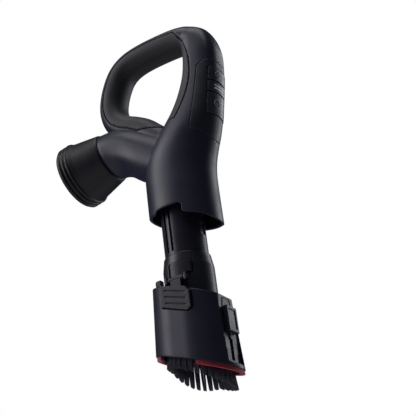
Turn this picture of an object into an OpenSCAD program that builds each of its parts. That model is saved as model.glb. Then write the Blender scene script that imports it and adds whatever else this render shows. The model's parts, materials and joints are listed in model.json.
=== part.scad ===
// Vacuum hose handle: closed-loop hand grip with control buttons, a swivelling hose cuff,
// and a slanted dusting-brush nozzle that slides on the spigot tube below the grip.
// Origin: the tube axis at the spigot's lower end. +Z runs up the tube, +X is the button side.

/* [Spigot tube] */
// Outer diameter of the spigot tube
tube_d = 35; // [34:0.5:36]
// Wall thickness of the spigot tube
tube_wall = 2.3; // [2:0.1:2.5]
// Length of the spigot tube from its lower end to its top
tube_len = 100; // [99:1:101]

/* [Handle] */
// Half width of the lower sleeve, front to back
sleeve_r = 30.2; // [30:0.1:31]
// Half width of the lower sleeve, side to side
sleeve_half_w = 25.5; // [25.3:0.1:26]
// Sideways offset of the sleeve from the tube axis
sleeve_x = 3.6; // [3:0.1:4]
// Height of the sleeve's mouth on the tube axis
mouth_z = 57; // [56:0.5:58]
// Wall thickness of the handle shells
shell_wall = 2.6; // [2:0.1:3]
// In-plane thickness of the loop
loop_t = 24; // [22:0.5:25]
// Side to side width of the loop
loop_w = 28; // [26:0.5:30]
// Thickness of the soft grip skin
grip_t = 1.6; // [1:0.1:2]

/* [Hose cuff] */
// Height of the hose cuff's axis
cuff_z = 142.8; // [142:0.1:144]
// Droop of the hose cuff's axis below level, in degrees
cuff_tilt = 10; // [8:0.5:12]
// Radius of the bore that takes the hose end
hose_bore_r = 21; // [20:0.25:22]
// Depth of the bore that takes the hose end
hose_bore_len = 20; // [18:1:21]
// Outer radius of the cuff at its open end
cuff_r = 29.8; // [29:0.1:30.5]

/* [Nozzle] */
// Radius of the nozzle's two rounded ends at its top
nozzle_r_top = 25.4; // [25.2:0.1:26]
// Radius of the nozzle's two rounded ends at its mouth
nozzle_r_mouth = 28.2; // [28:0.1:29]
// Distance of each rounded end's axis from the middle of the nozzle
nozzle_end_x = 5.2; // [5:0.1:6]
// Wall thickness of the nozzle shell
nozzle_wall = 2.2; // [1.8:0.1:2.4]
// Height of the nozzle's top face on the tube axis
nozzle_top_z = -6; // [-7:0.5:-5]
// Height of the nozzle's mouth on the tube axis
nozzle_mouth_z = -61.8; // [-64:0.2:-61]
// Slope of the nozzle's top face, in degrees
nozzle_top_tilt = 18.3; // [17:0.1:19]
// Slope of the nozzle's mouth, in degrees
nozzle_mouth_tilt = 19; // [18:0.5:20]

/* [Brush] */
// Number of bristle tufts in the ring
tuft_count = 33; // [28:1:36]
// Width of one square bristle tuft
tuft_w = 2.7; // [2.4:0.1:2.9]
// Radius of the ring of tufts
tuft_ring_r = 22.3; // [22:0.1:22.4]

/* [Buttons] */
// Gap round each control button
button_gap = 0.4; // [0.3:0.05:0.6]
// Half width of the control buttons
button_half_w = 14.2; // [12:0.1:14.6]

/* [Hidden] */
$fn = 64;

tube_r = tube_d / 2;
fit_gap = 0.3;
collar_r = 22.8;
big = 400;

// Stations up the column: height, centre x, half width in x, half width in y, squareness.
column = [
    [46, sleeve_x, sleeve_r, sleeve_half_w, 2.2], [85, sleeve_x, sleeve_r, sleeve_half_w, 2.2],
    [102, 4.6, 30.7, 25.3, 2.2], [115, 8, 31, 24.8, 2.2], [128, 15, 28.5, 23.5, 2.3],
    [140, 21.5, 25.5, 21.5, 2.4], [152, 27.5, 22, 19.5, 2.5], [166, 33, 19, 17.8, 2.7],
    [184, 38, 16.5, 16.8, 3], [205, 40, 15.5, 16.3, 3], [222, 37, 13.8, 15, 2.6],
    [231, 31, 10.5, 12, 2.2]
];

// Corner points of the loop's centre line, from the column's top round to the body.
loop_path = [
    [38.5, 210], [32, 223], [20, 228], [0, 229.5], [-20, 229], [-34, 226], [-44, 219],
    [-51, 207], [-55, 194], [-55.5, 183], [-52, 172], [-44, 164], [-34, 158.5],
    [-24, 152], [-14, 142], [0, 130]
];
loop_steps = 2;

// A point of the smooth curve through four neighbouring points
function curve_point(p0, p1, p2, p3, t) = 0.5 * (2 * p1 + (p2 - p0) * t
    + (2 * p0 - 5 * p1 + 4 * p2 - p3) * t * t + (3 * p1 - p0 - 3 * p2 + p3) * t * t * t);
function clamp_index(i, n) = max(0, min(n - 1, i));
function smooth(points, steps) = let (n = len(points)) [
    for (i = [0 : n - 2], s = [0 : steps - 1])
        curve_point(points[clamp_index(i - 1, n)], points[i], points[i + 1],
            points[clamp_index(i + 2, n)], s / steps),
    points[n - 1]
];
function heading(path, i) = let (n = len(path),
    d = path[clamp_index(i + 1, n)] - path[clamp_index(i - 1, n)]) atan2(d.y, d.x);

// Rounded outline between an ellipse (squareness 2) and a rectangle
function signed_power(v, p) = sign(v) * pow(abs(v), p);
function rounded(half_x, half_y, squareness) = [for (a = [0 : 12 : 348])
    [half_x * signed_power(cos(a), 2 / squareness), half_y * signed_power(sin(a), 2 / squareness)]];

// Solid through a chain of rings, each ring a closed convex outline of points
module chain(rings) {
    n = len(rings[0]);
    sides = [for (k = [0 : n - 1]) [k, (k + 1) % n, n + (k + 1) % n, n + k]];
    caps = [[for (k = [n - 1 : -1 : 0]) k], [for (k = [0 : n - 1]) n + k]];
    for (i = [0 : len(rings) - 2]) hull()
        polyhedron(concat(rings[i], rings[i + 1]), concat(sides, caps));
}

// Solid column, drawn in from its outer skin by an inset
module column_solid(inset) {
    chain([for (s = smooth(column, 2))
        [for (q = rounded(s[2] - inset, s[3] - inset, s[4])) [s[1] + q.x, q.y, s[0]]]]);
}

// Solid loop of elliptical section along the loop's centre line
module loop_solid(half_t, half_w) {
    path = smooth(loop_path, loop_steps);
    chain([for (i = [0 : len(path) - 1]) let (h = heading(path, i)) [for (a = [0 : 18 : 342])
        [path[i].x - half_t * cos(a) * sin(h), half_w * sin(a), path[i].y + half_t * cos(a) * cos(h)]]]);
}

// Flat region inside the loop's centre line, pushed outwards by a distance
module grip_zone(out) {
    path = smooth(loop_path, loop_steps);
    last = len(path) - 6;
    rotate([90, 0, 0]) linear_extrude(height = big, center = true) polygon(concat(
        [for (i = [3 : last]) let (h = heading(path, i)) path[i] + out * [sin(h), -cos(h)]],
        [[4, 150], [28, 185], [28, 205]]));
}

// Everything below a plane that slopes down towards +X
module below_slope(z, tilt) {
    translate([0, 0, z]) rotate([0, tilt, 0]) translate([-big / 2, -big / 2, -big])
        cube([big, big, big]);
}

// Solid through round rings, each given as [x, z, radius, tilt in degrees]
module tilted_rings(rings) {
    chain([for (s = rings) [for (a = [0 : 12 : 348])
        [s[0] + s[2] * cos(a) * sin(s[3]), s[2] * sin(a), s[1] + s[2] * cos(a) * cos(s[3])]]]);
}

// Horn-shaped outer form of the hose elbow
horn = [
    [-7.4, 115.1, 21, 26], [-26.6, 128.4, 21.3, 22], [-40, 137.7, 21.3, 12],
    [-52, 142, 21.3, 1], [-62.6, 142.8, 21.3, -10]
];
module elbow_form() { tilted_rings(smooth(horn, 2)); }

module sleeve_mouth_cut() {
    rotate([90, 0, 0]) linear_extrude(height = big, center = true) polygon([
        [-60, -60], [80, -60], [80, mouth_z - 10], [sleeve_x + sleeve_r, mouth_z - 10],
        [sleeve_x + 23, mouth_z - 6.5], [-60, mouth_z + 15.2]
    ]);
    translate([-12, -60, 0]) cube([26, 60, mouth_z + 5.8]);
}

screw_places = [[-51, 207], [-10, 229.4], [-42, 162.5], [33, 154], [26, 100]];
module screw_row(r_shank, r_head, head_h) {
    for (p = screw_places) translate([p.x, 0, p.y]) rotate([-90, 0, 0]) {
        translate([0, 0, -7]) cylinder(r = r_shank, h = 14.5, $fn = 20);
        translate([0, 0, 7]) cylinder(r = r_head, h = head_h, $fn = 20);
    }
}
module screw_bosses() {
    for (p = screw_places) translate([p.x, 0, p.y]) rotate([90, 0, 0])
        cylinder(r = 4.6, h = 60, center = true, $fn = 20);
}

module handle_form() {
    difference() {
        union() {
            difference() {
                union() {
                    column_solid(0);
                    loop_solid(loop_t / 2, loop_w / 2);
                }
                difference() {
                    union() {
                        column_solid(shell_wall);
                        loop_solid(loop_t / 2 - shell_wall - grip_t, loop_w / 2 - shell_wall - grip_t);
                        translate([0, 0, 40]) cylinder(r = collar_r, h = 24);
                    }
                    screw_bosses();
                }
            }
            intersection() {
                column_solid(0.5);
                translate([-30, -30, 88]) cube([65, 60, 4]);
            }
        }
        sleeve_mouth_cut();
        elbow_form();
        translate([0, 0, 82]) cylinder(r = collar_r, h = 30);
        intersection() {
            difference() {
                loop_solid(loop_t / 2 + 1, loop_w / 2 + 1);
                loop_solid(loop_t / 2 - grip_t, loop_w / 2 - grip_t);
            }
            grip_zone(5);
        }
        panel_space();
        screw_row(1.6, 3.2, 30);
    }
}

// Block of space that the control panel and its buttons take out of the column's front
module panel_space() {
    rotate([90, 0, 0]) linear_extrude(height = 40, center = true) polygon([
        [29, 127], [60, 101], [90, 101], [90, 184], [48, 188], [41, 184]
    ]);
}

module handle_shell_left() {
    color("#24262b") intersection() {
        handle_form();
        translate([-big / 2, -big, -big / 2]) cube([big, big, big * 2]);
    }
}
module handle_shell_right() {
    color("#24262b") intersection() {
        handle_form();
        translate([-big / 2, 0, -big / 2]) cube([big, big, big * 2]);
    }
}
module grip_insert() {
    color("#1a1b1e") difference() {
        intersection() {
            difference() {
                loop_solid(loop_t / 2, loop_w / 2);
                loop_solid(loop_t / 2 - grip_t, loop_w / 2 - grip_t);
            }
            grip_zone(5);
        }
        column_solid(0);
        elbow_form();
        screw_row(1.6, 3.2, 30);
    }
}

// Height ranges of the three control buttons: low, high
upper_z = [168, 181];
middle_z = [157.5, 168];
power_z = [137.5, 157.5];
module button_block(z_range, gap, from_x) {
    translate([from_x, -button_half_w - gap, z_range[0] + 0.3 - gap])
        cube([40, 2 * (button_half_w + gap), z_range[1] - z_range[0] - 0.6 + 2 * gap]);
}
module control_panel() {
    color("#1d1f24") difference() {
        intersection() {
            difference() {
                column_solid(0);
                column_solid(shell_wall);
            }
            panel_space();
        }
        for (z = [upper_z, middle_z, power_z]) button_block(z, button_gap - 0.15, 30);
        indicator_form(1.6);
    }
}
module button(z_range, tone) {
    color(tone) union() {
        intersection() {
            difference() {
                column_solid(-0.3);
                column_solid(2.2);
            }
            button_block(z_range, -button_gap / 2, 38);
        }
        translate([switch_x(z_range) + 3.9, -3, (z_range[0] + z_range[1]) / 2 - 2])
            cube([front_x(z_range) - 2 - switch_x(z_range) - 3.9, 6, 4]);
    }
}
// Front skin's x at a button's middle, and the x of its switch
function front_x(z_range) = let (z = (z_range[0] + z_range[1]) / 2)
    lookup(z, [for (s = column) [s[0], s[1] + s[2]]]);
function switch_x(z_range) = front_x(z_range) - 8.4;
module upper_button() { button(upper_z, "#3a3f4a"); }
module middle_button() { button(middle_z, "#343944"); }
module power_button() { button(power_z, "#3a3f4a"); }

module indicator_form(r) {
    translate([38, -14.4, 133]) rotate([0, 90, 0]) cylinder(r = r, h = 7, $fn = 24);
}
module indicator_window() {
    color("#8fb4d8") intersection() {
        indicator_form(1.6);
        column_solid(0.3);
    }
}

module circuit_board() {
    color("#1f6b3a") for (z = [upper_z, middle_z, power_z])
        translate([switch_x(z) - 1.6, -8, z[0]]) cube([1.6, 16, z[1] - z[0]]);
}
module button_switches() {
    color("#b9bcc2") for (z = [upper_z, middle_z, power_z])
        translate([switch_x(z), -3, (z[0] + z[1]) / 2 - 3]) cube([2.8, 6, 6]);
}
module shell_screws() { color("#9a9da3") screw_row(1.5, 3, 2); }

// Collar that holds the top of the tube between the shells
module guide_collar() {
    color("#2f3136") difference() {
        translate([0, 0, 83]) cylinder(r = collar_r - 0.1, h = 12);
        translate([0, 0, 82]) cylinder(r = tube_r + 0.05, h = 14);
    }
}

// Two long slots low on the near side, and a guide groove on the far side
module groove(angle, width, depth, z_low, z_high) {
    rotate([0, 0, angle]) translate([-width / 2, depth - tube_r - 4, z_low])
        cube([width, 4, z_high - z_low]);
}
module spigot_tube() {
    color("#33363c") difference() {
        union() {
            cylinder(r = tube_r, h = tube_len);
            translate([0, 0, tube_len - 5]) cylinder(r = 20, h = 3);
        }
        translate([0, 0, -1]) cylinder(r = tube_r - tube_wall, h = tube_len + 2);
        for (a = [-25, -8]) groove(a, 2.4, 1.6, 27, 80);
        groove(180, 3.2, 1, -1, 82.5);
        translate([tube_r - 1.2, -3.5, 40]) cube([4, 7, 11]);
    }
}
module tube_seal() {
    color("#101010") translate([0, 0, tube_len - 2]) difference() {
        cylinder(r = 20, h = 2.5);
        translate([0, 0, -1]) cylinder(r = tube_r, h = 5);
    }
}

// Airway through the elbow: up from the tube, then out to the hose side.
// The cuff runs on a spigot at the elbow's end and is held there by a clip ring.
cuff_x = -63;
cuff_len = 40;
spigot_r = 18.5;
clip_from = 8;
clip_w = 1.6;
airway_r = 15.5;
airway = [
    [0, tube_len - 5, 90], [0, 106, 90], [-2.5, 113, 62], [-10, 119.5, 38], [-27, 129.5, 29],
    [-42, 137, 22], [-51, 141.6, 10], [-57.1, 143.84, -cuff_tilt], [-87.6, 138.46, -cuff_tilt]
];
module on_cuff_axis(distance) {
    translate([cuff_x, 0, cuff_z]) rotate([0, -90 - cuff_tilt, 0])
        translate([0, 0, distance]) children();
}
module airway_form() { tilted_rings([for (p = airway) [p[0], p[1], airway_r, p[2]]]); }
module clip_groove() {
    on_cuff_axis(clip_from) difference() {
        cylinder(r = 25, h = clip_w);
        translate([0, 0, -1]) cylinder(r = spigot_r - 0.9, h = 4);
    }
}
module elbow() {
    color("#202227") difference() {
        union() {
            elbow_form();
            translate([0, 0, tube_len + 0.5]) cylinder(r = 19, h = 14);
            translate([0, 0, tube_len + 14.5]) cylinder(r1 = 19, r2 = 9, h = 18);
            on_cuff_axis(-6) cylinder(r = spigot_r, h = 19.5);
        }
        airway_form();
        clip_groove();
        translate([0, 0, tube_len - 20]) cylinder(r = collar_r, h = 20.5);
    }
}
module elbow_clip_ring() {
    color("#c8ccd2") intersection() {
        clip_groove();
        on_cuff_axis(0) cylinder(r = 20, h = 20);
    }
}

// Swivelling cuff: profile radius against distance from its inner end
module hose_cuff() {
    color("#1e2025") on_cuff_axis(0) difference() {
        rotate_extrude($fn = 96) polygon([
            [0, 0], [21.8, 0], [22.8, 1.2], [25, 12], [27.4, 24], [28.4, 27.4],
            for (i = [0 : 2]) each [[28.4, 28 + 3.8 * i], [cuff_r, 28.6 + 3.8 * i],
                [cuff_r, 30.4 + 3.8 * i], [28.4, 31 + 3.8 * i]],
            [28.6, 39.2], [28, cuff_len], [0, cuff_len]
        ]);
        translate([0, 0, -1]) cylinder(r = spigot_r + fit_gap, h = 30);
        translate([0, 0, 6]) cylinder(r = 20.4, h = 7);
        translate([0, 0, cuff_len - hose_bore_len]) cylinder(r = hose_bore_r, h = 60);
    }
}
module cuff_seal() {
    color("#0c0c0c") on_cuff_axis(cuff_len - hose_bore_len - 3) difference() {
        cylinder(r = spigot_r + fit_gap, h = 3);
        translate([0, 0, -1]) cylinder(r = 16.5, h = 5);
    }
}

// Connector that slides on the tube, with keys in the tube's two slots
connector_r = 20.4;
connector_bore = tube_r + fit_gap;
connector_low = -28;
pin_y = -21.3;
pin_z = 1.5;
module nozzle_connector() {
    color("#25272c") difference() {
        union() {
            difference() {
                union() {
                    translate([0, 0, connector_low]) cylinder(r = connector_r, h = 42);
                    translate([0, 0, 14]) cylinder(r1 = connector_r, r2 = 18.8, h = 10);
                    translate([0, 0, connector_low - 2]) cylinder(r = 22.5, h = 3);
                    lever_ears();
                }
                translate([0, 0, -40]) cylinder(r = connector_bore, h = 70);
            }
            translate([-1.2, connector_bore - 0.6, 8]) cube([2.4, 1.2, 12]);
        }
        difference() {
            union() {
                translate([-7.2, -30, -8]) cube([14.4, 20, 24]);
                translate([-4.6, -30, 5]) cube([17.2, 20, 11]);
            }
            translate([0, 0, -10]) cylinder(r = 19.2, h = 40);
        }
        translate([0, pin_y, pin_z]) rotate([0, 90, 0])
            cylinder(r = 1.2, h = 40, center = true);
        translate([0, 0, seal_z]) cylinder(r = connector_bore + 1, h = 3);
    }
}
module lever_ears() {
    for (s = [-1, 1]) translate([s * 8.6 - 1.2, -23.2, pin_z - 3]) cube([2.4, 7, 6]);
}
module lever_pin() {
    color("#b4b7bc") translate([0, pin_y, pin_z]) rotate([0, 90, 0])
        cylinder(r = 1.2, h = 19, center = true, $fn = 32);
}
seal_z = -20;
module connector_seal() {
    color("#0c0c0c") translate([0, 0, seal_z]) difference() {
        cylinder(r = connector_bore + 1, h = 3);
        translate([0, 0, -1]) cylinder(r = connector_bore, h = 5);
    }
}

// One-piece lever: latch plate above the pin, release button below it.
// The button's ends run parallel to the nozzle's sloping top.
button_z = [-24.5, -5];
button_w = 25;
button_y = -26.6;
module button_plate(grow, depth) {
    half = button_w / 2 + grow;
    rotate([90, 0, 0]) linear_extrude(height = depth) polygon([
        for (p = [[-1, 0, 1], [0.72, 0, 0], [1, 0, 3.5], [1, 1, 3.5], [0.72, 1, 0], [-1, 1, 1]])
            let (x = p.x * half)
                [x, button_z[p.y] + (p.y * 2 - 1) * (grow - p.z) - x * tan(nozzle_top_tilt)]
    ]);
}
lever_plate_r = 21.5;
module release_lever() {
    color("#2b2d33") difference() {
        union() {
            translate([0, button_y + 2.6, 0]) button_plate(0, 2.6);
            translate([-4.5, button_y + 1, -12]) cube([9, 4, 5]);
            translate([-4.5, -23.4, -12]) cube([9, 2.4, 12]);
            intersection() {
                difference() {
                    translate([0, 0, -7]) cylinder(r = lever_plate_r, h = 22.4);
                    translate([0, 0, -9]) cylinder(r = 19.5, h = 40);
                }
                union() {
                    translate([-4, -30, -1]) cube([10.8, 20, 16.4]);
                    translate([-4, -30, 5.6]) cube([16, 20, 9.8]);
                }
            }
            translate([0, pin_y, pin_z]) rotate([0, 90, 0])
                cylinder(r = 2, h = 13.6, center = true);
        }
        translate([0, pin_y, pin_z]) rotate([0, 90, 0])
            cylinder(r = 1.25, h = 40, center = true);
        for (z = [-20.5, -15.5, -10.5]) translate([0, button_y + 0.7, z])
            rotate([0, nozzle_top_tilt, 0]) translate([-9.5, -3, 0]) cube([19, 3, 1.2]);
    }
}

// Helical wire: wire radius, coil radius, number of turns, free length
function coil_ring(wire, coil, turns, length, t) = let (a = 360 * turns * t, slope = atan(length
    / (2 * PI * coil * turns))) [for (k = [0 : 7]) let (b = 45 * k, u = coil + wire * cos(b))
    [u * cos(a) + wire * sin(b) * sin(slope) * sin(a),
     u * sin(a) - wire * sin(b) * sin(slope) * cos(a),
     length * t + wire * sin(b) * cos(slope)]];
module coil_spring(wire, coil, turns, length) {
    n = turns * 12;
    points = [for (i = [0 : n]) each coil_ring(wire, coil, turns, length, i / n)];
    side = [for (i = [0 : n - 1], k = [0 : 7]) let (m = (k + 1) % 8)
        each [[8 * i + k, 8 * i + m, 8 * i + 8 + m], [8 * i + k, 8 * i + 8 + m, 8 * i + 8 + k]]];
    polyhedron(points, concat(side, [[for (k = [7 : -1 : 0]) k], [for (k = [0 : 7]) 8 * n + k]]));
}
module lever_spring() {
    color("#c3c6cb") translate([0, -23.7, -17]) rotate([-90, 0, 0])
        coil_spring(0.3, 2, 3, 2.9);
}

nozzle_x = -0.8;
nozzle_z = [-90, 8];
function nozzle_r(z) = nozzle_r_top
    + (nozzle_r_mouth - nozzle_r_top) * (z - nozzle_top_z) / (nozzle_mouth_z - nozzle_top_z);
module nozzle_form(inset) {
    r_low = nozzle_r(nozzle_z[0]) - inset;
    r_high = nozzle_r(nozzle_z[1]) - inset;
    for (s = [-1, 1]) translate([nozzle_x + s * nozzle_end_x, 0, nozzle_z[0]])
        cylinder(r1 = r_low, r2 = r_high, h = nozzle_z[1] - nozzle_z[0]);
    translate([nozzle_x, 0, 0]) rotate([90, 0, 90])
        linear_extrude(height = 2 * nozzle_end_x, center = true) polygon([
            [-r_low, nozzle_z[0]], [r_low, nozzle_z[0]],
            [r_high, nozzle_z[1]], [-r_high, nozzle_z[1]]
        ]);
}
module nozzle_screw_pair(r) {
    for (s = [-1, 1]) translate([-23.2, s * 8, -9]) cylinder(r = r, h = 8.7);
}
module nozzle_shell() {
    color("#26282d") difference() {
        intersection() {
            difference() {
                nozzle_form(0);
                intersection() {
                    nozzle_form(nozzle_wall);
                    below_slope(nozzle_top_z - 2.6, nozzle_top_tilt);
                }
            }
            below_slope(nozzle_top_z, nozzle_top_tilt);
        }
        below_slope(nozzle_mouth_z, nozzle_mouth_tilt);
        translate([0, 0, -60]) cylinder(r = connector_r, h = 80);
        translate([0, -21.5, 0]) button_plate(0.6, 40);
        translate([-9.8, -23.4, -30]) cube([19.6, 8, 60]);
        recess_space();
        nozzle_screw_pair(1.25);
    }
}
// Space that the slider recess takes out of the nozzle's front
recess_x = 27.9;
module recess_space() {
    translate([recess_x, 0, 0]) rotate([90, 0, 0]) linear_extrude(height = 23, center = true)
        polygon([[0, -68], [20, -74], [20, -16], [0, -10.6]]);
}
// Floor of the slider recess, with the long slot that the slider's stem runs in
module recess_plate() {
    color("#2a2c31") difference() {
        translate([recess_x - 2, -12.4, -78]) cube([2, 24.8, 70]);
        below_slope(nozzle_mouth_z + 1.6, nozzle_mouth_tilt);
        difference() {
            translate([20, -20, -100]) cube([20, 40, 100]);
            below_slope(nozzle_top_z - 2.6, nozzle_top_tilt);
        }
        difference() {
            translate([20, -20, -100]) cube([20, 40, 100]);
            nozzle_form(nozzle_wall);
        }
        translate([20, -2.4, -66]) cube([20, 4.8, 38]);
    }
}
module nozzle_duct() {
    color("#1c1d20") difference() {
        translate([0, 0, -44]) cylinder(r = 20, h = 14);
        translate([0, 0, -60]) cylinder(r = connector_bore + 0.4, h = 40);
    }
}
module guide_tab() {
    color("#2f3238") intersection() {
        translate([-19, -23.4, -20]) cube([6, 5, 24]);
        difference() {
            translate([0, 0, -30]) cylinder(r = 28.5, h = 40);
            below_slope(nozzle_top_z, nozzle_top_tilt);
        }
    }
}

lint_h = 3;
module lint_ring() {
    difference() {
        intersection() {
            nozzle_form(0.8);
            translate([0, 0, -lint_h]) difference() {
                below_slope(nozzle_mouth_z + lint_h, nozzle_mouth_tilt);
                below_slope(nozzle_mouth_z, nozzle_mouth_tilt);
            }
        }
        nozzle_form(4.4);
    }
}
module lint_strip_front() {
    color("#8f1a22") intersection() {
        lint_ring();
        translate([11, -40, -100]) cube([40, 80, 60]);
    }
}
module lint_strip_rear() {
    color("#8f1a22") intersection() {
        lint_ring();
        translate([-52, -40, -100]) cube([32, 80, 60]);
    }
}

// Slider knob on the front, its stem, and the ring that carries the bristles
module slider_knob() {
    color("#2d3036") difference() {
        union() {
            translate([recess_x + 0.4, -7.5, -45]) cube([4, 15, 20]);
            translate([23, -2, -50]) cube([6, 4, 20]);
        }
        translate([recess_x + 3.7, -5, -42.5]) cube([3, 10, 15]);
    }
}
carrier_z = -38;
carrier_tilt = 19;
module brush_carrier() {
    color("#222428") difference() {
        intersection() {
            translate([0, 0, -60]) cylinder(r = 24.2, h = 40);
            below_slope(carrier_z, carrier_tilt);
        }
        below_slope(carrier_z - 5, carrier_tilt);
        translate([0, 0, -70]) cylinder(r = 20.4, h = 60);
        translate([23, -2, -50]) cube([6, 4, 20]);
    }
}
module tuft(angle) {
    x = tuft_ring_r * sin(angle);
    y = -tuft_ring_r * cos(angle);
    tip = nozzle_mouth_z - 11.5 - 0.46 * x - 0.15 * y;
    translate([x, y, tip]) rotate([0, 0, angle]) translate([-tuft_w / 2, -tuft_w / 2, 0])
        cube([tuft_w, tuft_w, carrier_z - tip + 8]);
}
module bristle_tufts() {
    color("#17181b") intersection() {
        for (i = [0 : tuft_count - 1]) tuft(360 / tuft_count * i);
        below_slope(carrier_z - 5, carrier_tilt);
    }
}
module slider_detent() {
    color("#c3c6cb") translate([recess_x - 2.7, 6, -58]) cube([0.7, 4, 20]);
}
module nozzle_screws() { color("#9a9da3") nozzle_screw_pair(1.2); }

handle_shell_left();
handle_shell_right();
grip_insert();
control_panel();
upper_button();
middle_button();
power_button();
indicator_window();
circuit_board();
button_switches();
shell_screws();
guide_collar();
spigot_tube();
tube_seal();
elbow();
elbow_clip_ring();
hose_cuff();
cuff_seal();
nozzle_connector();
connector_seal();
release_lever();
lever_pin();
lever_spring();
nozzle_shell();
nozzle_duct();
recess_plate();
guide_tab();
lint_strip_front();
lint_strip_rear();
slider_knob();
brush_carrier();
bristle_tufts();
slider_detent();
nozzle_screws();
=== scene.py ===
"""Looks for the vacuum hose handle: moulded skins, seams, bristles, materials, light and camera.

Lengths are in millimetres until a mesh is made, and in metres in Blender. The frame is the CAD's:
origin on the tube's axis at its lower end, +Z up the tube, +X towards the control buttons.
"""
import json
import math
import random

import bmesh
import bpy
import numpy as np
from mathutils import Matrix, Vector
from mathutils.bvhtree import BVHTree


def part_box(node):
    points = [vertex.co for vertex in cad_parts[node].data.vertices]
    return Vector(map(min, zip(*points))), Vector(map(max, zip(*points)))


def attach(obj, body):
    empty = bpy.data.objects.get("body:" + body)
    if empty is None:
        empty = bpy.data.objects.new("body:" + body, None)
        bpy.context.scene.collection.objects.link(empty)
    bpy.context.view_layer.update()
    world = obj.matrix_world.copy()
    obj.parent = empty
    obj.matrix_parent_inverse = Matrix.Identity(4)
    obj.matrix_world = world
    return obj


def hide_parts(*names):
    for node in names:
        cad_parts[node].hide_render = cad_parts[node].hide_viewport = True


MM = 0.001
SEED = 7

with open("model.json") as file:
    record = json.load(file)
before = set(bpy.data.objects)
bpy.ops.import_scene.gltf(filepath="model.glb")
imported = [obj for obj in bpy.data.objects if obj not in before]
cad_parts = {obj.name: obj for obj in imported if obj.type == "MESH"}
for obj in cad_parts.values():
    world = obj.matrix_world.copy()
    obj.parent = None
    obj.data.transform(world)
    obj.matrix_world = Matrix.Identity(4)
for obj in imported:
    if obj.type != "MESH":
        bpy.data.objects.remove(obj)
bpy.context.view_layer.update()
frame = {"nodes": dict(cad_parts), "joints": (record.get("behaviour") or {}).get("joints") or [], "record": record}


# ---------------------------------------------------------------- curves and rings

def smooth_curve(points, steps):
    """Catmull-Rom curve through the rows of points, with that many steps between two of them."""
    p = np.asarray(points, float)
    ahead = np.vstack([p[:1], p, p[-1:]])
    rows = []
    for i in range(len(p) - 1):
        a, b, c, d = ahead[i:i + 4]
        for t in np.arange(steps) / steps:
            rows.append(0.5 * (2 * b + (c - a) * t + (2 * a - 5 * b + 4 * c - d) * t ** 2
                               + (3 * b - a - 3 * c + d) * t ** 3))
    return np.array(rows + [p[-1]])


def superellipse(half_x, half_y, squareness, count):
    """Rounded outline between an ellipse (squareness 2) and a rectangle."""
    a = np.linspace(0, 2 * math.pi, count, endpoint=False)
    power = 2 / squareness
    return np.column_stack([half_x * np.sign(np.cos(a)) * np.abs(np.cos(a)) ** power,
                            half_y * np.sign(np.sin(a)) * np.abs(np.sin(a)) ** power])


def column_rings(steps=6, count=72):
    """Rings up the handle's column.

    Stations: height, centre x, half width in x and in y, squareness.
    """
    stations = [
        (40, 3.6, 30.2, 25.5, 2.2), (85, 3.6, 30.2, 25.5, 2.2), (102, 4.6, 30.7, 25.3, 2.2),
        (115, 8, 31, 24.8, 2.2), (128, 15, 28.5, 23.5, 2.3), (140, 21.5, 25.5, 21.5, 2.4),
        (152, 27.5, 22, 19.5, 2.5), (166, 33, 19, 17.8, 2.7), (184, 38, 16.5, 16.8, 3),
        (205, 40, 15.5, 16.3, 3), (222, 37, 13.8, 15, 2.6), (231, 31, 10.5, 12, 2.2)]
    rings = []
    for z, cx, rx, ry, square in smooth_curve(stations, steps):
        xy = superellipse(rx, ry, square, count)
        rings.append(np.column_stack([xy[:, 0] + cx, xy[:, 1], np.full(count, z)]))
    return rings


LOOP_PATH = [(38.5, 210), (32, 223), (20, 228), (0, 229.5), (-20, 229), (-34, 226), (-44, 219),
             (-51, 207), (-55, 194), (-55.5, 183), (-52, 172), (-44, 164), (-34, 158.5),
             (-24, 152), (-14, 142), (0, 130)]
LOOP_HALF = (12.0, 14.0)


def headings(path):
    """Unit direction of a flat path at each of its points."""
    d = np.gradient(path, axis=0)
    return d / np.linalg.norm(d, axis=1)[:, None]


def loop_rings(steps=6, count=40):
    """Elliptical rings along the loop's centre line."""
    path = smooth_curve(LOOP_PATH, steps)
    rings = []
    for (x, z), (dx, dz) in zip(path, headings(path)):
        uv = superellipse(*LOOP_HALF, 2.1, count)
        rings.append(np.column_stack([x - uv[:, 0] * dz, uv[:, 1], z + uv[:, 0] * dx]))
    return rings


def horn_rings(grow, steps=8, count=72):
    """Rings along the elbow. Stations: x, z, radius and upward slope of its centre line."""
    stations = [(-7.4, 115.1, 21, 26), (-26.6, 128.4, 21.3, 22), (-40, 137.7, 21.3, 12),
                (-52, 142, 21.3, 1), (-62.6, 142.8, 21.3, -10)]
    rings = []
    for x, z, r, slope in smooth_curve(stations, steps):
        a = np.linspace(0, 2 * math.pi, count, endpoint=False)
        t = math.radians(slope)
        u = (r + grow) * np.cos(a)
        rings.append(np.column_stack([x + u * math.sin(t), (r + grow) * np.sin(a),
                                      z + u * math.cos(t)]))
    return rings


# ---------------------------------------------------------------- meshes

def new_object(name, verts, faces, material=None):
    """Mesh object from points in millimetres."""
    mesh = bpy.data.meshes.new(name)
    mesh.from_pydata([tuple(v) for v in np.asarray(verts, float) * MM], [], faces)
    mesh.validate()
    mesh.polygons.foreach_set("use_smooth", [True] * len(mesh.polygons))
    obj = bpy.data.objects.new(name, mesh)
    bpy.context.collection.objects.link(obj)
    if material:
        mesh.materials.append(material)
    return obj


def loft(rings):
    """Points and faces of a closed solid through rings of equal length."""
    n = len(rings[0])
    faces = []
    for i in range(len(rings) - 1):
        for k in range(n):
            m = (k + 1) % n
            faces.append((i * n + k, i * n + m, (i + 1) * n + m, (i + 1) * n + k))
    last = (len(rings) - 1) * n
    faces.append(tuple(range(n - 1, -1, -1)))
    faces.append(tuple(range(last, last + n)))
    return np.vstack(rings), faces


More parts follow.
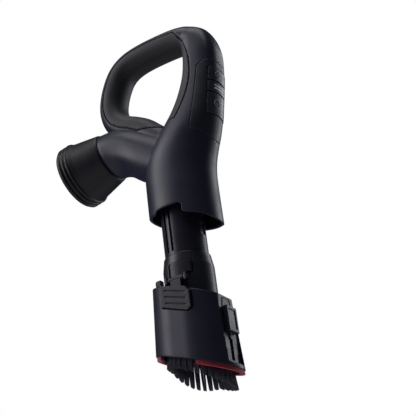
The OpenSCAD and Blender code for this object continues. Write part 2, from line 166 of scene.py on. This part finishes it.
def joined(*parts):
    """Several (points, faces) pairs as one."""
    verts, faces, start = [], [], 0
    for v, f in parts:
        verts.append(v)
        faces += [tuple(i + start for i in face) for face in f]
        start += len(v)
    return np.vstack(verts), faces


def apply_modifiers(obj):
    graph = bpy.context.evaluated_depsgraph_get()
    mesh = bpy.data.meshes.new_from_object(obj.evaluated_get(graph))
    old = obj.data
    obj.modifiers.clear()
    obj.data = mesh
    bpy.data.meshes.remove(old)


def remesh(obj, voxel, rounds):
    """One closed skin from overlapping or sharp solids, with every edge rounded."""
    m = obj.modifiers.new("skin", "REMESH")
    m.mode = "VOXEL"
    m.voxel_size = voxel * MM
    m.adaptivity = 0
    m.use_smooth_shade = True
    s = obj.modifiers.new("round", "SMOOTH")
    s.factor = 0.5
    s.iterations = rounds
    apply_modifiers(obj)


def boolean(obj, cutter):
    """Cuts the cutter out of the object, and deletes the cutter."""
    m = obj.modifiers.new("cut", "BOOLEAN")
    m.operation = "DIFFERENCE"
    m.solver = "EXACT"
    m.object = cutter
    apply_modifiers(obj)
    bpy.data.objects.remove(cutter)


def thicken(obj, wall):
    """Gives a skin a wall, inwards."""
    m = obj.modifiers.new("wall", "SOLIDIFY")
    m.thickness = wall * MM
    m.offset = -1
    apply_modifiers(obj)


def prism(name, outline_xz, y_from, y_to):
    """Solid with a flat XZ outline between two y values."""
    n = len(outline_xz)
    verts = [(x, y, z) for y in (y_from, y_to) for x, z in outline_xz]
    faces = [tuple(range(n)), tuple(range(2 * n - 1, n - 1, -1))]
    faces += [(k, n + k, n + (k + 1) % n, (k + 1) % n) for k in range(n)]
    obj = new_object(name, verts, faces)
    fix_normals(obj)
    return obj


def fix_normals(obj):
    bm = bmesh.new()
    bm.from_mesh(obj.data)
    bmesh.ops.recalc_face_normals(bm, faces=bm.faces)
    bm.to_mesh(obj.data)
    bm.free()


def rod(name, a, b, radius, sides=32):
    """Solid cylinder between two points."""
    a, b = Vector(a), Vector(b)
    turn = (b - a).to_track_quat("Z", "Y").to_matrix()
    rings = []
    for end in (a, b):
        rings.append(np.array([end + turn @ Vector((radius * math.cos(t), radius * math.sin(t), 0))
                               for t in np.linspace(0, 2 * math.pi, sides, endpoint=False)]))
    obj = new_object(name, *loft(rings))
    fix_normals(obj)
    return obj


def lathe(name, profile, origin, axis, sides=128):
    """Closed profile of (radius, distance) turned about an axis from an origin."""
    turn = Vector(axis).to_track_quat("Z", "Y").to_matrix()
    n = len(profile)
    rings = []
    for t in np.linspace(0, 2 * math.pi, sides, endpoint=False):
        rings.append(np.array([Vector(origin) + turn @ Vector((r * math.cos(t), r * math.sin(t), d))
                               for r, d in profile]))
    faces = []
    for i in range(sides):
        for k in range(n):
            faces.append((i * n + k, i * n + (k + 1) % n,
                          ((i + 1) % sides) * n + (k + 1) % n, ((i + 1) % sides) * n + k))
    obj = new_object(name, np.vstack(rings), faces)
    fix_normals(obj)
    return obj


def rounded_profile(points, radius, steps=3):
    """Closed polygon with each corner replaced by a short curve."""
    out = []
    n = len(points)
    for i in range(n):
        p = np.array(points[i], float)
        a = np.array(points[i - 1], float) - p
        b = np.array(points[(i + 1) % n], float) - p
        cut = min(radius, np.linalg.norm(a) / 2.2, np.linalg.norm(b) / 2.2)
        start, end = p + a / np.linalg.norm(a) * cut, p + b / np.linalg.norm(b) * cut
        for t in np.linspace(0, 1, steps + 1):
            out.append(tuple((1 - t) ** 2 * start + 2 * t * (1 - t) * p + t ** 2 * end))
    return out


def softened(node, voxel, rounds, slot):
    """A CAD node with moulded radii on its edges, which stands for that node."""
    source = frame["nodes"][node]
    body = next(b for b, names in bodies.items() if node in names)
    obj = bpy.data.objects.new(node + "_moulded", source.data.copy())
    obj.matrix_world = source.matrix_world
    bpy.context.collection.objects.link(obj)
    weld = obj.modifiers.new("weld", "WELD")
    weld.merge_threshold = 0.001 * MM
    remesh(obj, voxel, rounds)
    obj.data.materials.clear()
    obj.data.materials.append(MATERIALS[slot])
    finish_piece(obj, body, slot, node)


def finish_piece(obj, body, slot, *nodes):
    """Ties a piece to its body, and lets it stand for the nodes. The slot argument is not used."""
    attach(obj, body)
    if nodes:
        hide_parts(*nodes)


# ---------------------------------------------------------------- seams cut into a skin

def outline_distance(points, outline):
    """Signed distance of 2-D points from a closed outline, negative inside."""
    p = points[:, None, :]
    a = np.asarray(outline, float)[None]
    b = np.roll(a, -1, axis=1)
    ab = b - a
    t = np.clip(((p - a) * ab).sum(2) / np.maximum((ab ** 2).sum(2), 1e-12), 0, 1)
    gap = np.linalg.norm(p - a - ab * t[..., None], axis=2).min(1)
    crosses = (a[..., 1] > p[..., 1]) != (b[..., 1] > p[..., 1])
    rise = np.where(np.abs(ab[..., 1]) < 1e-12, 1e-12, ab[..., 1])
    at = a[..., 0] + (p[..., 1] - a[..., 1]) / rise * ab[..., 0]
    inside = (crosses & (p[..., 0] < at)).sum(1) % 2 == 1
    return np.where(inside, -gap, gap)


def rounded_box_distance(u, v, half_u, half_v, corner):
    """Signed distance from a rounded rectangle about the origin."""
    du, dv = np.abs(u) - half_u + corner, np.abs(v) - half_v + corner
    outer = np.hypot(np.maximum(du, 0), np.maximum(dv, 0))
    return outer + np.minimum(np.maximum(du, dv), 0) - corner


def points_of(bm):
    return np.array([v.co for v in bm.verts]) / MM


def cut_along(bm, field, level):
    """Adds an edge line to the mesh where field equals level."""
    bm.verts.index_update()
    value = field(points_of(bm)) - level
    fresh = []
    for e in list(bm.edges):
        a, b = value[e.verts[0].index], value[e.verts[1].index]
        if a * b < 0 and abs(a) + abs(b) < 12:
            t = a / (a - b)
            if 0.02 < t < 0.98:
                fresh.append(bmesh.utils.edge_split(e, e.verts[0], t)[1])
    bmesh.ops.connect_verts(bm, verts=fresh)


def seam(bm, field, width=0.55, depth=0.9, lift=0.0):
    """Groove along the line where field is 0, with the inside lifted or sunk by an amount."""
    for level in (-2.2, -1, -0.15, 0.15, 1, 2.2):
        cut_along(bm, field, level * width)
    bm.normal_update()
    bm.verts.index_update()
    value = field(points_of(bm))
    near = np.abs(value)
    groove = -depth * np.clip(1 - near / width, 0, 1) ** 0.5
    rise = np.clip(-value / (1.6 * width), 0, 1)
    raised = lift * rise * (2 - rise)
    move = (groove + raised) * MM
    for v in bm.verts:
        if move[v.index]:
            v.co += v.normal * move[v.index]


def split_off(bm, field, name, material):
    """New object from the faces where field is negative, taken out of the mesh."""
    bm.verts.index_update()
    value = field(points_of(bm))
    inside = [f for f in bm.faces if sum(value[v.index] for v in f.verts) < 0]
    part = bm.copy()
    bm.faces.index_update()
    keep = {f.index for f in inside}
    part.faces.ensure_lookup_table()
    bmesh.ops.delete(part, geom=[f for f in part.faces if f.index not in keep], context="FACES")
    bmesh.ops.delete(bm, geom=inside, context="FACES")
    mesh = bpy.data.meshes.new(name)
    part.to_mesh(mesh)
    part.free()
    mesh.polygons.foreach_set("use_smooth", [True] * len(mesh.polygons))
    obj = bpy.data.objects.new(name, mesh)
    bpy.context.collection.objects.link(obj)
    mesh.materials.append(material)
    return obj


# ---------------------------------------------------------------- materials

def node_material(name):
    mat = bpy.data.materials.new(name)
    mat.use_nodes = True
    tree = mat.node_tree
    shader = tree.nodes["Principled BSDF"]
    place = tree.nodes.new("ShaderNodeTexCoord")
    return mat, tree, shader, place.outputs["Object"]


def add_noise(tree, place, scale, detail=3.0, rough=0.55):
    n = tree.nodes.new("ShaderNodeTexNoise")
    n.inputs["Scale"].default_value = scale
    n.inputs["Detail"].default_value = detail
    n.inputs["Roughness"].default_value = rough
    tree.links.new(place, n.inputs["Vector"])
    return n.outputs["Fac"]


def add_range(tree, value, low, high):
    m = tree.nodes.new("ShaderNodeMapRange")
    m.inputs["To Min"].default_value = low
    m.inputs["To Max"].default_value = high
    m.inputs["From Min"].default_value = 0.3
    m.inputs["From Max"].default_value = 0.7
    tree.links.new(value, m.inputs["Value"])
    return m.outputs["Result"]


def add_mix(tree, factor, a, b):
    m = tree.nodes.new("ShaderNodeMix")
    m.data_type = "RGBA"
    m.inputs["A"].default_value = (*a, 1)
    m.inputs["B"].default_value = (*b, 1)
    tree.links.new(factor, m.inputs["Factor"])
    return m.outputs["Result"]


def add_bump(tree, height, strength, distance):
    b = tree.nodes.new("ShaderNodeBump")
    b.inputs["Strength"].default_value = strength
    b.inputs["Distance"].default_value = distance
    tree.links.new(height, b.inputs["Height"])
    return b.outputs["Normal"]


def plastic(name, colour, rough, grain=0.12, grain_scale=2600, wear=1.35):
    """Moulded plastic: spark-eroded grain, hand-worn patches and slightly paler edges."""
    mat, tree, shader, place = node_material(name)
    patches = add_noise(tree, place, 38, 4)
    fine = add_noise(tree, place, grain_scale, 2, 0.6)
    colour_out = add_mix(tree, patches, [c * 0.86 for c in colour], [c * 1.14 for c in colour])
    edge = tree.nodes.new("ShaderNodeNewGeometry").outputs["Pointiness"]
    worn = tree.nodes.new("ShaderNodeMapRange")
    worn.inputs["From Min"].default_value = 0.52
    worn.inputs["From Max"].default_value = 0.62
    tree.links.new(edge, worn.inputs["Value"])
    m = tree.nodes.new("ShaderNodeMix")
    m.data_type = "RGBA"
    tree.links.new(worn.outputs["Result"], m.inputs["Factor"])
    tree.links.new(colour_out, m.inputs["A"])
    m.inputs["B"].default_value = (*[min(1, c * wear + 0.006) for c in colour], 1)
    tree.links.new(m.outputs["Result"], shader.inputs["Base Color"])
    tree.links.new(add_range(tree, patches, rough - 0.05, rough + 0.06), shader.inputs["Roughness"])
    tree.links.new(add_bump(tree, fine, grain, 0.00012), shader.inputs["Normal"])
    return mat


def rubber(name, colour, rough=0.72):
    mat, tree, shader, place = node_material(name)
    dust = add_noise(tree, place, 60, 5)
    fine = add_noise(tree, place, 3400, 2)
    tree.links.new(add_mix(tree, dust, [c * 0.8 for c in colour], [c * 1.3 for c in colour]),
                   shader.inputs["Base Color"])
    tree.links.new(add_range(tree, dust, rough - 0.06, rough + 0.06), shader.inputs["Roughness"])
    tree.links.new(add_bump(tree, fine, 0.25, 0.0001), shader.inputs["Normal"])
    shader.inputs["Sheen Weight"].default_value = 0.15
    return mat


def felt(name, colour):
    mat, tree, shader, place = node_material(name)
    pile = add_noise(tree, place, 1500, 4, 0.7)
    clumps = add_noise(tree, place, 260, 3)
    shade, tint = [c * 0.55 for c in colour], [min(1, c * 1.35) for c in colour]
    tree.links.new(add_mix(tree, pile, shade, tint), shader.inputs["Base Color"])
    tree.links.new(add_range(tree, clumps, 0.82, 0.98), shader.inputs["Roughness"])
    shader.inputs["Sheen Weight"].default_value = 0.6
    shader.inputs["Sheen Roughness"].default_value = 0.4
    tree.links.new(add_bump(tree, pile, 0.7, 0.0004), shader.inputs["Normal"])
    return mat


def steel(name, colour, rough=0.3):
    mat, tree, shader, place = node_material(name)
    stretch = tree.nodes.new("ShaderNodeMapping")
    stretch.inputs["Scale"].default_value = (1, 1, 0.04)
    tree.links.new(place, stretch.inputs["Vector"])
    lines = add_noise(tree, stretch.outputs["Vector"], 4000, 2)
    tree.links.new(add_mix(tree, lines, [c * 0.8 for c in colour], colour),
                   shader.inputs["Base Color"])
    tree.links.new(add_range(tree, lines, rough - 0.08, rough + 0.1), shader.inputs["Roughness"])
    tree.links.new(add_bump(tree, lines, 0.1, 0.00005), shader.inputs["Normal"])
    shader.inputs["Metallic"].default_value = 1
    return mat


MATERIALS = {
    "shell_plastic": plastic("satin_black_shell", (0.017, 0.018, 0.036), 0.40),
    "grip_rubber": rubber("soft_grip", (0.02, 0.02, 0.024), 0.55),
    "panel_plastic": plastic("panel_black", (0.014, 0.015, 0.02), 0.42),
    "button_plastic": plastic("key_blue_grey", (0.03, 0.034, 0.044), 0.34, 0.06),
    "indicator": plastic("light_guide", (0.5, 0.62, 0.72), 0.25, 0.02),
    "tube_plastic": plastic("tube_black", (0.014, 0.013, 0.021), 0.36, 0.05),
    "cuff_plastic": plastic("cuff_black", (0.007, 0.007, 0.011), 0.45),
    "nozzle_plastic": plastic("nozzle_black", (0.017, 0.017, 0.034), 0.42),
    "lever_plastic": plastic("lever_grey", (0.017, 0.017, 0.025), 0.42),
    "lint_felt": felt("red_velour", (0.5, 0.012, 0.028)),
    "bristle": plastic("nylon_filament", (0.04, 0.04, 0.052), 0.45, 0.02, 6000),
    "seal_rubber": rubber("seal_black", (0.012, 0.012, 0.012), 0.6),
    "screw_steel": steel("zinc_plate", (0.5, 0.51, 0.53)),
    "spring_steel": steel("spring_wire", (0.55, 0.56, 0.58), 0.22),
    "board": plastic("solder_mask", (0.01, 0.09, 0.035), 0.3, 0.05, 900),
    "inner_plastic": plastic("inner_black", (0.03, 0.031, 0.034), 0.5),
    "mark": plastic("pale_print", (0.62, 0.63, 0.66), 0.5, 0.03),
    "faint_mark": plastic("faint_print", (0.075, 0.08, 0.095), 0.4, 0.03),
}

bodies = frame["record"]["behaviour"]["bodies"]
slot_of = {s["node"]: s["material_slot"] for s in frame["record"]["subparts"]}
for node, obj in frame["nodes"].items():
    obj.data.materials.clear()
    obj.data.materials.append(MATERIALS[slot_of[node]])


# ---------------------------------------------------------------- handle skins

def high(node):
    """Top corner of a CAD node's box, in millimetres."""
    return np.array(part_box(node)[1]) / MM


PANEL_SIDE = [(29, 127), (60, 101), (90, 101), (90, 184), (48, 188), (41, 184)]
KEYS = {"upper_button": (168, 181), "middle_button": (157.5, 168), "power_button": (137.5, 157.5)}
KEY_HALF = high("upper_button")[1]
KEY_CORNER = 2.2
KEY_GAP = 0.35
FRONT_X = 28
FAR_AWAY = 50
GRIP_OUTSET = 3.2


def grip_outline():
    """Side outline of the soft insert: outside the loop's centre line, then down the column."""
    path = smooth_curve(LOOP_PATH[2:-2], 3)
    d = headings(path)
    outer = path + GRIP_OUTSET * np.column_stack([d[:, 1], -d[:, 0]])
    front = smooth_curve([(16, 141), (26, 158), (33, 178), (33.5, 200), (29, 216), (24, 226)], 3)
    return np.vstack([outer, front])


def grip_field(p):
    return outline_distance(p[:, [0, 2]], grip_outline())


def panel_field(p):
    return outline_distance(p[:, [0, 2]], PANEL_SIDE)


def key_field(z_low, z_high):
    """Signed distance from a key's outline, on the column's front only."""
    middle, half = (z_low + z_high) / 2, (z_high - z_low) / 2 - 0.3

    def field(p):
        d = rounded_box_distance(p[:, 1], p[:, 2] - middle, KEY_HALF, half, KEY_CORNER)
        return np.where(p[:, 0] > FRONT_X, d, FAR_AWAY)
    return field


def screw_wells():
    """Deep wells over the shell screws, on the far side."""
    return [rod("well", (x, 8.6, z), (x, 60, z), 3.3)
            for x, z in ((-51, 207), (-10, 229.4), (-42, 162.5), (33, 154), (26, 100))]


def handle_skins():
    """One smooth outer form, divided by real grooves into shell, grip, panel and keys."""
    form = new_object("handle_form", *joined(loft(column_rings()), loft(loop_rings())))
    remesh(form, 1.0, 10)
    for well in screw_wells():
        boolean(form, well)
    bm = bmesh.new()
    bm.from_mesh(form.data)
    bpy.data.objects.remove(form)
    seam(bm, grip_field, 0.8, 1.3)
    seam(bm, panel_field, 0.4, 0.7)
    for z_low, z_high in KEYS.values():
        seam(bm, key_field(z_low, z_high), 0.4, 0.9, 0.35)
    grip = split_off(bm, grip_field, "grip_insert_skin", MATERIALS["grip_rubber"])
    keys = {}
    for node, (z_low, z_high) in KEYS.items():
        edge = key_field(z_low, z_high)
        cut_along(bm, edge, -KEY_GAP)
        keys[node] = split_off(bm, lambda p: edge(p) + KEY_GAP, node + "_cap",
                               MATERIALS["button_plastic"])
        bpy.data.objects.remove(split_off(bm, edge, "gap_strip", MATERIALS["button_plastic"]))
    panel = split_off(bm, panel_field, "control_panel_skin", MATERIALS["panel_plastic"])
    mesh = bpy.data.meshes.new("handle_shell_skin")
    bm.to_mesh(mesh)
    bm.free()
    mesh.polygons.foreach_set("use_smooth", [True] * len(mesh.polygons))
    shell = bpy.data.objects.new("handle_shell_skin", mesh)
    bpy.context.collection.objects.link(shell)
    mesh.materials.append(MATERIALS["shell_plastic"])
    thicken(shell, 2.4)
    for obj, wall in ((grip, 1.5), (panel, 1.8), *((k, 1.5) for k in keys.values())):
        thicken(obj, wall)
    boolean(shell, prism("mouth", [
        (-60, 20), (80, 20), (80, 47), (34, 47), (26.6, 50.5), (-60, 72.2)], -60, 60))
    boolean(shell, prism("notch", [
        (-12, 20), (14, 20), (14, 60.2), (11, 62.8), (-9, 62.8), (-12, 60.2)], -60, 0))
    for node, obj in keys.items():
        finish_piece(obj, next(b for b, names in bodies.items() if node in names),
                     "button_plastic", node)
    finish_piece(panel, "handle", "panel_plastic", "control_panel")
    finish_piece(grip, "handle", "grip_rubber", "grip_insert")
    finish_piece(shell, "handle", "shell_plastic", "handle_shell_left", "handle_shell_right")
    return shell, panel, keys


def elbow_skin():
    """Smooth outer skin of the elbow, with room for the spigot inside the cuff."""
    outer = loft(horn_rings(0.3))
    obj = new_object("elbow_skin", *outer, MATERIALS["shell_plastic"])
    fix_normals(obj)
    remesh(obj, 0.8, 12)
    obj.data.materials.clear()
    obj.data.materials.append(MATERIALS["shell_plastic"])
    end_x = high("hose_cuff")[0]
    boolean(obj, rod("bore", (end_x - 40, 0, 136.2), (end_x + 2, 0, 143.6), 19, 64))
    finish_piece(obj, "handle", "shell_plastic")


def hose_cuff():
    """Swivelling cuff with moulded ribs, turned about the joint's own axis."""
    swivel = next(j for j in frame["joints"] if j["name"] == "cuff_swivel")
    ribs = []
    for i in range(3):
        d = 28 + 3.8 * i
        ribs += [(28.4, d), (29.8, d + 0.6), (29.8, d + 2.4), (28.4, d + 3)]
    profile = [(18.8, 0), (21.8, 0), (22.8, 1.2), (25, 12), (27.4, 24), (28.4, 27.4), *ribs,
               (28.6, 39.2), (28, 40), (21, 40), (21, 20), (18.8, 20)]
    obj = lathe("hose_cuff_moulded", rounded_profile(profile, 0.7),
                [c / MM for c in swivel["pos_m"]], swivel["axis"])
    obj.data.materials.append(MATERIALS["cuff_plastic"])
    obj.data.polygons.foreach_set("use_smooth", [True] * len(obj.data.polygons))
    finish_piece(obj, "cuff", "cuff_plastic", "hose_cuff")


# ---------------------------------------------------------------- nozzle and bristles

def filament(x, y, base, tip, lean, pinch, radius, sides=4, steps=5):
    """Tapered strand that leans along its length and is pinched sideways near its tip."""
    rings = []
    for s in range(steps + 1):
        t = s / steps
        a = np.linspace(0, 2 * math.pi, sides, endpoint=False)
        rad = radius * (1 - 0.3 * t)
        rings.append(np.column_stack([x + lean[0] * t ** 2 + pinch[0] * t ** 6 + rad * np.cos(a),
                                      y + lean[1] * t ** 2 + pinch[1] * t ** 6 + rad * np.sin(a),
                                      np.full(sides, base + (tip - base) * t)]))
    return loft(rings)


TUFTS, TUFTS_RADIUS, TUFT_HALF, TUFT_SIDE = 33, 22.3, 1.35, 7
CARRIER_TILT = 19
SPLAY = 1.9


def bristles():
    """Each square tuft as a bundle of fine filaments that lean outwards to their tips."""
    rng = random.Random(SEED)
    strands = []
    for i in range(TUFTS):
        a = 2 * math.pi / TUFTS * i
        out = np.array([math.sin(a), -math.cos(a)])
        along = np.array([math.cos(a), math.sin(a)])
        for row in range(TUFT_SIDE):
            for col in range(TUFT_SIDE):
                u = (col + 0.5) / TUFT_SIDE * 2 - 1 + rng.uniform(-0.06, 0.06)
                v = (row + 0.5) / TUFT_SIDE * 2 - 1 + rng.uniform(-0.06, 0.06)
                x, y = out * (TUFTS_RADIUS + v * TUFT_HALF * 0.9) + along * u * 1.85
                base = -43.2 - x * math.tan(math.radians(CARRIER_TILT))
                tip = -73.3 - 0.46 * x - 0.15 * y - 0.02 * max(-x, 0) * max(y, 0)
                lean = out * (SPLAY + 0.3 * v) + along * rng.gauss(0, 0.03)
                strands.append(filament(x, y, base, tip + rng.uniform(-0.05, 0.15), lean,
                                        -0.6 * u * along, 0.3))
    obj = new_object("bristle_filaments", *joined(*strands), MATERIALS["bristle"])
    fix_normals(obj)
    finish_piece(obj, "brush", "bristle", "bristle_tufts")


def raised_mark(name, outline_rings, surface, body, ink, lift=0.12):
    """Thin print laid on a surface: rings of (y, z) points, moved out along +X onto it."""
    tree = BVHTree.FromObject(surface, bpy.context.evaluated_depsgraph_get())
    verts, faces = [], []
    n = len(outline_rings[0])
    for ring in outline_rings:
        for y, z in ring:
            hit = tree.ray_cast(Vector((0.2, y * MM, z * MM)), Vector((-1, 0, 0)))[0]
            verts.append((hit.x / MM + lift, y, z))
    for i in range(len(outline_rings) - 1):
        for k in range(n):
            m = (k + 1) % n
            faces.append((i * n + k, i * n + m, (i + 1) * n + m, (i + 1) * n + k))
    obj = new_object(name, np.array(verts), faces, MATERIALS[ink])
    thick = obj.modifiers.new("ink", "SOLIDIFY")
    thick.thickness = 0.2 * MM
    thick.offset = 0
    apply_modifiers(obj)
    finish_piece(obj, body, "button_plastic")


def ring_outline(y, z, inner, outer, count=40):
    a = np.linspace(0, 2 * math.pi, count, endpoint=False)
    return [[(y + r * math.cos(t), z + r * math.sin(t)) for t in a] for r in (outer, inner)]


def bar_outline(y, z, half_y, half_z):
    return [[(y - half_y, z - half_z), (y, z - half_z), (y + half_y, z - half_z)],
            [(y - half_y, z + half_z), (y, z + half_z), (y + half_y, z + half_z)]]


# ---------------------------------------------------------------- build

shell, panel, keys = handle_skins()
elbow_skin()
hose_cuff()
softened("nozzle_shell", 0.5, 5, "nozzle_plastic")
softened("nozzle_connector", 0.4, 3, "tube_plastic")
softened("release_lever", 0.3, 4, "lever_plastic")
softened("slider_knob", 0.3, 4, "lever_plastic")
softened("guide_tab", 0.3, 4, "nozzle_plastic")
softened("lint_strip_front", 0.3, 2, "lint_felt")
softened("lint_strip_rear", 0.3, 2, "lint_felt")
bristles()
raised_mark("upper_ring_mark", ring_outline(-5, 174.5, 2.4, 3.1), keys["upper_button"],
            "key_upper", "faint_mark")
for row in range(2):
    raised_mark("middle_bar_mark_%d" % (row + 1), bar_outline(-3.5, 164 - 2.6 * row, 5, 0.75),
                keys["middle_button"], "key_middle", "mark")
raised_mark("power_ring_mark", ring_outline(-4.5, 148, 3, 3.8), keys["power_button"],
            "key_power", "faint_mark")


# ---------------------------------------------------------------- stage, light and camera

TILT = math.radians(8.1)
AZIMUTH, ELEVATION = math.radians(27), math.radians(-26)
AIM = Vector((0.0263, -0.0036, 0.0591))
DISTANCE = 0.676


def camera_axes():
    forward = Vector((-math.sin(AZIMUTH) * math.cos(ELEVATION),
                      math.cos(AZIMUTH) * math.cos(ELEVATION), -math.sin(ELEVATION)))
    right = forward.cross(Vector((0, 0, 1))).normalized()
    up = right.cross(forward)
    return (forward, right * math.cos(TILT) - up * math.sin(TILT),
            up * math.cos(TILT) + right * math.sin(TILT))


def camera():
    forward, right, up = camera_axes()
    data = bpy.data.cameras.new("camera")
    data.lens, data.sensor_width = 73.56, 36
    obj = bpy.data.objects.new("camera", data)
    back = -forward
    m = Matrix((right, up, back)).transposed().to_4x4()
    m.translation = AIM - forward * DISTANCE
    obj.matrix_world = m
    bpy.context.collection.objects.link(obj)
    bpy.context.scene.camera = obj


def soft_light(name, offset, size, power, colour=(1, 1, 1)):
    """Rectangular lamp placed from the camera's right, up and forward directions, aimed inwards."""
    forward, right, up = camera_axes()
    centre = Vector((0, 0, 0.08))
    place = centre + right * offset[0] + up * offset[1] + forward * offset[2]
    data = bpy.data.lights.new(name, "AREA")
    data.shape = "RECTANGLE"
    data.size, data.size_y = size
    data.energy = power
    data.color = colour
    obj = bpy.data.objects.new(name, data)
    obj.location = place
    obj.rotation_euler = (centre - place).to_track_quat("-Z", "Y").to_euler()
    bpy.context.collection.objects.link(obj)


def stage():
    mat, tree, shader, place = node_material("pale_floor")
    cloud = add_noise(tree, place, 3, 4)
    tree.links.new(add_mix(tree, cloud, (0.78, 0.78, 0.79), (0.84, 0.84, 0.85)),
                   shader.inputs["Base Color"])
    shader.inputs["Roughness"].default_value = 0.7
    floor = new_object("floor", [(-4000, -4000, -450), (4000, -4000, -450), (4000, 4000, -450),
                                 (-4000, 4000, -450)], [(0, 1, 2, 3)], mat)
    world = bpy.data.worlds.new("studio")
    world.use_nodes = True
    tree = world.node_tree
    back = tree.nodes["Background"]
    back.inputs["Color"].default_value = (0.7, 0.8, 1, 1)
    back.inputs["Strength"].default_value = 0.06
    white = tree.nodes.new("ShaderNodeBackground")
    white.inputs["Color"].default_value = (1, 1, 1, 1)
    seen = tree.nodes.new("ShaderNodeLightPath")
    mix = tree.nodes.new("ShaderNodeMixShader")
    tree.links.new(seen.outputs["Is Camera Ray"], mix.inputs["Fac"])
    tree.links.new(back.outputs["Background"], mix.inputs[1])
    tree.links.new(white.outputs["Background"], mix.inputs[2])
    tree.links.new(mix.outputs["Shader"], tree.nodes["World Output"].inputs["Surface"])
    bpy.context.scene.world = world
    bpy.context.scene.view_settings.view_transform = "Standard"


stage()
soft_light("left_box", (-1.0, 0.35, 0.0), (0.5, 1.1), 6, (0.97, 0.96, 1))
soft_light("right_rim", (0.75, 0.1, 0.66), (0.2, 1.0), 2.8, (0.93, 0.95, 1))
soft_light("top_box", (-0.2, 1.0, 0.2), (0.8, 0.5), 3)
camera()
